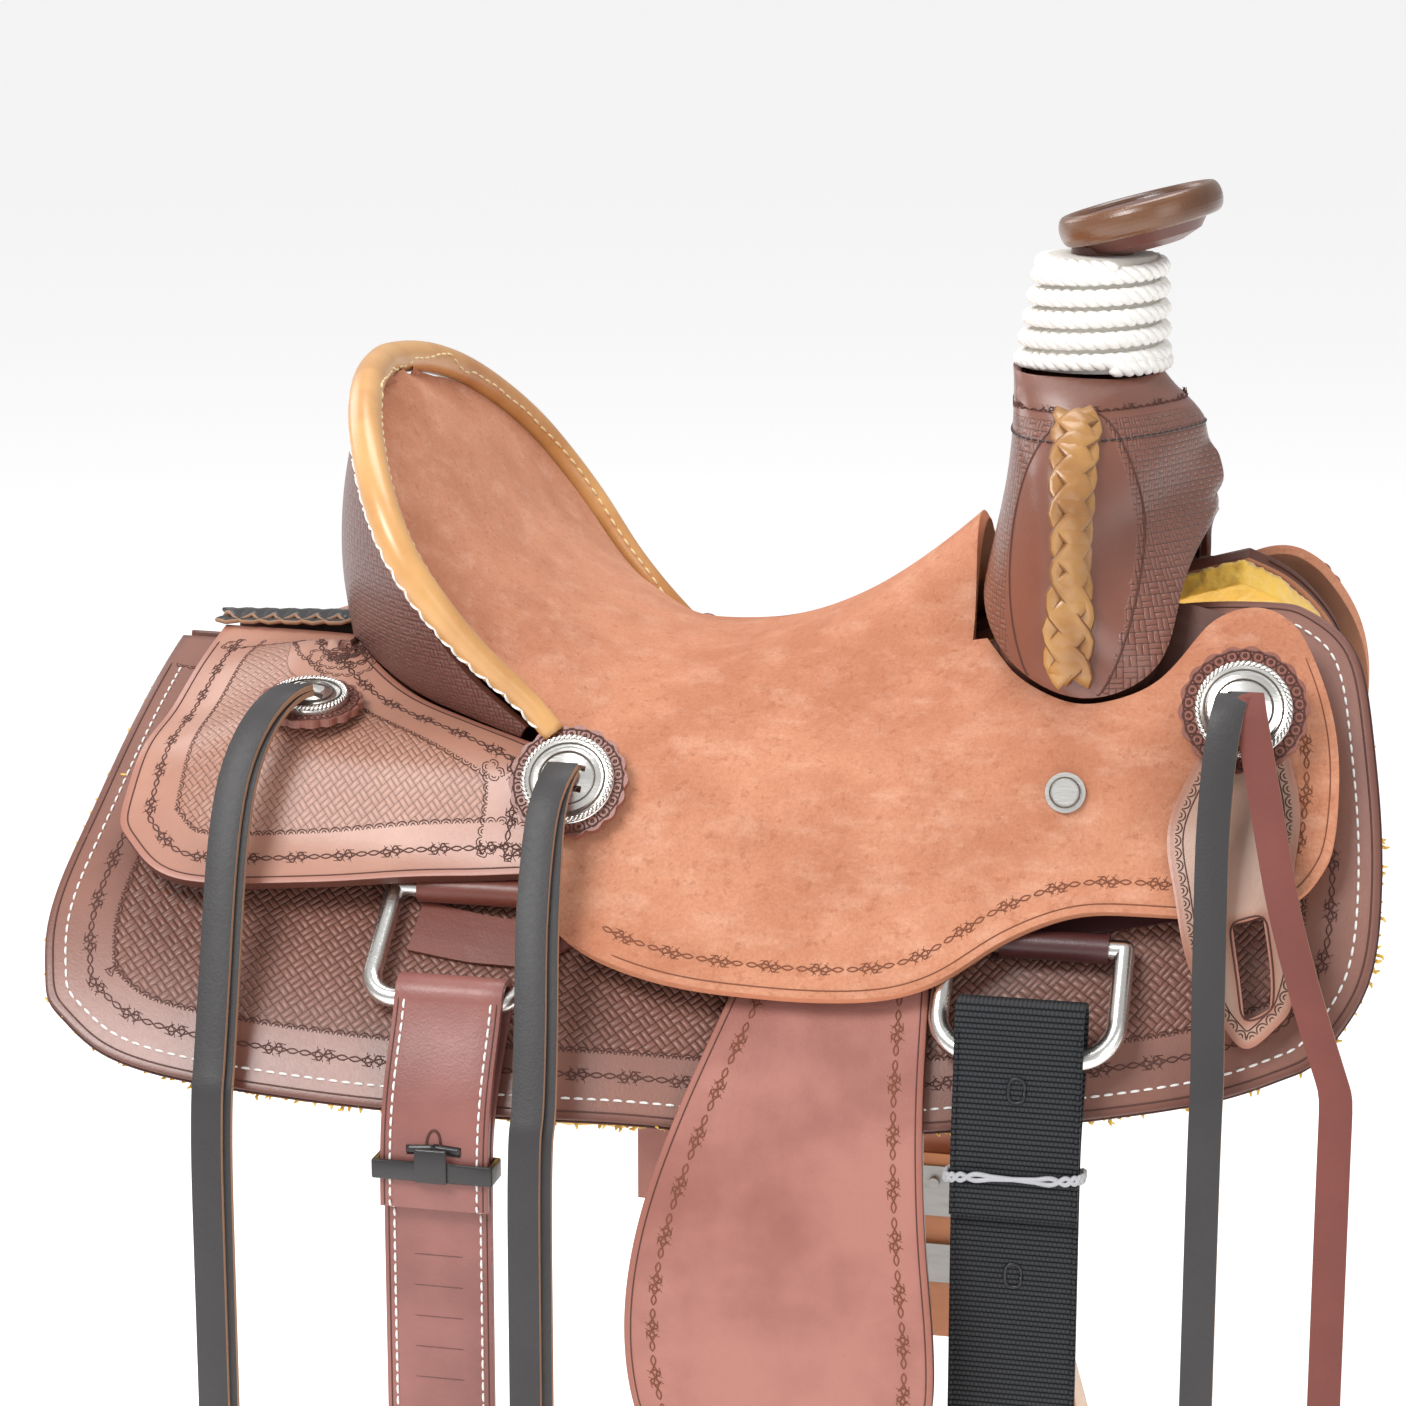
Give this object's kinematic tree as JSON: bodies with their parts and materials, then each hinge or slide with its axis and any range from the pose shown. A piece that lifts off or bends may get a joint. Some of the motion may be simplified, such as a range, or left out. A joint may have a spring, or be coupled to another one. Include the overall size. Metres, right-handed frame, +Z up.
{
  "type": "western saddle",
  "caption": "Youth ranch saddle with a high cantle, a rope-wrapped horn, stamped skirts, rigging dees, hanging fenders, stirrups and strings.",
  "frame": {"origin": "crown of the underside channel that rests on the back, at the lowest point of the seat", "axes": "+X to the head, +Y to the near (left) side, +Z up"},
  "size_m": [0.5357, 0.4484, 0.7233],
  "materials": {
    "rawhide_tree": "satin rawhide",
    "ground_leather": "plain",
    "horn_steel": "matt",
    "cotton_rope": "twisted cotton",
    "burgundy_leather": "waxed",
    "aged_rawhide": "glossy rawhide",
    "fork_leather": "basket stamped",
    "tan_lace": "glossy",
    "seat_roughout": "roughout suede",
    "cantle_leather": "basket stamped",
    "golden_rawhide": "glossy rawhide",
    "jockey_leather": "basket stamped",
    "black_leather": "smooth",
    "skirt_leather": "basket stamped",
    "fleece": "woolly",
    "rigging_leather": "smooth",
    "rosette_leather": "smooth",
    "silver": "engraved",
    "keeper_leather": "stamped",
    "dee_steel": "polished",
    "black_nylon": "ribbed webbing",
    "grey_tie": "matt",
    "latigo_leather": "oiled",
    "billet_leather": "smooth",
    "fender_leather": "roughout",
    "strap_leather": "smooth",
    "stirrup_rawhide": "rawhide over wood",
    "buckle_steel": "zinc",
    "string_leather": "waxed"
  },
  "bodies": {
    "saddle": {"tree_bar_off": "rawhide_tree", "tree_bar_near": "rawhide_tree", "tree_fork": "rawhide_tree", "tree_cantle": "rawhide_tree", "ground_seat": "ground_leather", "horn": "horn_steel", "horn_wrap": "cotton_rope", "horn_cap": "burgundy_leather", "horn_cap_rim": "aged_rawhide", "fork_cover": "fork_leather", "fork_lacing": "tan_lace", "seat_leather": "seat_roughout", "cantle_back": "cantle_leather", "cantle_binding": "golden_rawhide", "rear_jockey_off": "jockey_leather", "rear_jockey_near": "jockey_leather", "jockey_lacing": "black_leather", "skirt_off": "skirt_leather", "skirt_near": "skirt_leather", "fleece_off": "fleece", "fleece_near": "fleece", "rigging_front_off": "rigging_leather", "rigging_front_near": "rigging_leather", "rigging_rear_off": "rigging_leather", "rigging_rear_near": "rigging_leather", "rosettes": "rosette_leather", "conchos": "silver", "seat_screws": "silver", "latigo_keeper_off": "keeper_leather", "latigo_keeper_near": "keeper_leather"},
    "front_dee_off": {"front_dee_off": "dee_steel"},
    "off_billet": {"off_billet": "black_nylon", "billet_band": "grey_tie"},
    "rear_dee_off": {"rear_dee_off": "dee_steel"},
    "rear_billet_off": {"rear_billet_off": "billet_leather", "billet_keeper_off": "black_leather"},
    "fender_off": {"fender_off": "fender_leather", "stirrup_leather_off": "strap_leather", "buckle_plate_off": "buckle_steel"},
    "buckle_sleeve_off": {"buckle_sleeve_off": "buckle_steel"},
    "stirrup_off": {"stirrup_off": "stirrup_rawhide", "stirrup_bolt_off": "buckle_steel"},
    "string_rear_off": {"string_rear_off": "string_leather"},
    "string_mid_off": {"string_mid_off": "string_leather"},
    "string_front_off": {"string_front_off": "string_leather"},
    "front_dee_near": {"front_dee_near": "dee_steel"},
    "latigo": {"latigo": "latigo_leather"},
    "rear_dee_near": {"rear_dee_near": "dee_steel"},
    "rear_billet_near": {"rear_billet_near": "billet_leather", "billet_keeper_near": "black_leather"},
    "fender_near": {"fender_near": "fender_leather", "stirrup_leather_near": "strap_leather", "buckle_plate_near": "buckle_steel"},
    "buckle_sleeve_near": {"buckle_sleeve_near": "buckle_steel"},
    "stirrup_near": {"stirrup_near": "stirrup_rawhide", "stirrup_bolt_near": "buckle_steel"},
    "string_rear_near": {"string_rear_near": "string_leather"},
    "string_mid_near": {"string_mid_near": "string_leather"},
    "string_front_near": {"string_front_near": "string_leather"}
  },
  "joints": [
    {"name": "front_dee_off_swing", "type": "hinge", "parent": "saddle", "child": "front_dee_off", "pos_m": [0.166, -0.13701, -0.05809], "axis": [-1, 0, 0], "range_deg": [0, 1.7]},
    {"name": "off_billet_swing", "type": "hinge", "parent": "front_dee_off", "child": "off_billet", "pos_m": [0.166, -0.16712, -0.0947], "axis": [-1, 0, 0], "range_deg": [0, 15]},
    {"name": "rear_dee_off_swing", "type": "hinge", "parent": "saddle", "child": "rear_dee_off", "pos_m": [-0.0635, -0.14087, -0.04959], "axis": [-1, 0, 0], "range_deg": [0, 3]},
    {"name": "rear_billet_off_swing", "type": "hinge", "parent": "rear_dee_off", "child": "rear_billet_off", "pos_m": [-0.0635, -0.18316, -0.08317], "axis": [-1, 0, 0], "range_deg": [0, 40]},
    {"name": "fender_off_swing", "type": "hinge", "parent": "saddle", "child": "fender_off", "pos_m": [0.089, -0.10425, -0.03467], "axis": [-0.2516, 0.6514, -0.7158], "range_deg": [0, 8]},
    {"name": "buckle_sleeve_off_slide", "type": "slide", "parent": "fender_off", "child": "buckle_sleeve_off", "axis": [0, 0, 1], "range_m": [0, 0.014]},
    {"name": "stirrup_off_swing", "type": "hinge", "parent": "fender_off", "child": "stirrup_off", "pos_m": [0.089, -0.19334, -0.35868], "axis": [-1, 0, 0], "range_deg": [-35, 35]},
    {"name": "string_rear_off_swing", "type": "hinge", "parent": "saddle", "child": "string_rear_off", "pos_m": [-0.1445, -0.11719, 0.02603], "axis": [-1, 0, 0], "range_deg": [0, 45]},
    {"name": "string_mid_off_swing", "type": "hinge", "parent": "saddle", "child": "string_mid_off", "pos_m": [-0.026, -0.13694, 0.00365], "axis": [-1, 0, 0], "range_deg": [0, 45]},
    {"name": "string_front_off_swing", "type": "hinge", "parent": "saddle", "child": "string_front_off", "pos_m": [0.241, -0.12189, 0.04313], "axis": [-1, 0, 0], "range_deg": [0, 45]},
    {"name": "front_dee_near_swing", "type": "hinge", "parent": "saddle", "child": "front_dee_near", "pos_m": [0.166, 0.13701, -0.05809], "axis": [1, 0, 0], "range_deg": [0, 1.7]},
    {"name": "latigo_swing", "type": "hinge", "parent": "front_dee_near", "child": "latigo", "pos_m": [0.166, 0.16712, -0.0947], "axis": [1, 0, 0], "range_deg": [0, 15]},
    {"name": "rear_dee_near_swing", "type": "hinge", "parent": "saddle", "child": "rear_dee_near", "pos_m": [-0.0635, 0.14087, -0.04959], "axis": [1, 0, 0], "range_deg": [0, 3]},
    {"name": "rear_billet_near_swing", "type": "hinge", "parent": "rear_dee_near", "child": "rear_billet_near", "pos_m": [-0.0635, 0.18316, -0.08317], "axis": [1, 0, 0], "range_deg": [0, 40]},
    {"name": "fender_near_swing", "type": "hinge", "parent": "saddle", "child": "fender_near", "pos_m": [0.089, 0.10425, -0.03467], "axis": [0.2516, 0.6514, 0.7158], "range_deg": [0, 8]},
    {"name": "buckle_sleeve_near_slide", "type": "slide", "parent": "fender_near", "child": "buckle_sleeve_near", "axis": [0, 0, 1], "range_m": [0, 0.014]},
    {"name": "stirrup_near_swing", "type": "hinge", "parent": "fender_near", "child": "stirrup_near", "pos_m": [0.089, 0.19334, -0.35868], "axis": [1, 0, 0], "range_deg": [-35, 35]},
    {"name": "string_rear_near_swing", "type": "hinge", "parent": "saddle", "child": "string_rear_near", "pos_m": [-0.1445, 0.11719, 0.02603], "axis": [1, 0, 0], "range_deg": [0, 45]},
    {"name": "string_mid_near_swing", "type": "hinge", "parent": "saddle", "child": "string_mid_near", "pos_m": [-0.026, 0.13694, 0.00365], "axis": [1, 0, 0], "range_deg": [0, 45]},
    {"name": "string_front_near_swing", "type": "hinge", "parent": "saddle", "child": "string_front_near", "pos_m": [0.241, 0.12189, 0.04313], "axis": [1, 0, 0], "range_deg": [0, 45]}
  ]
}
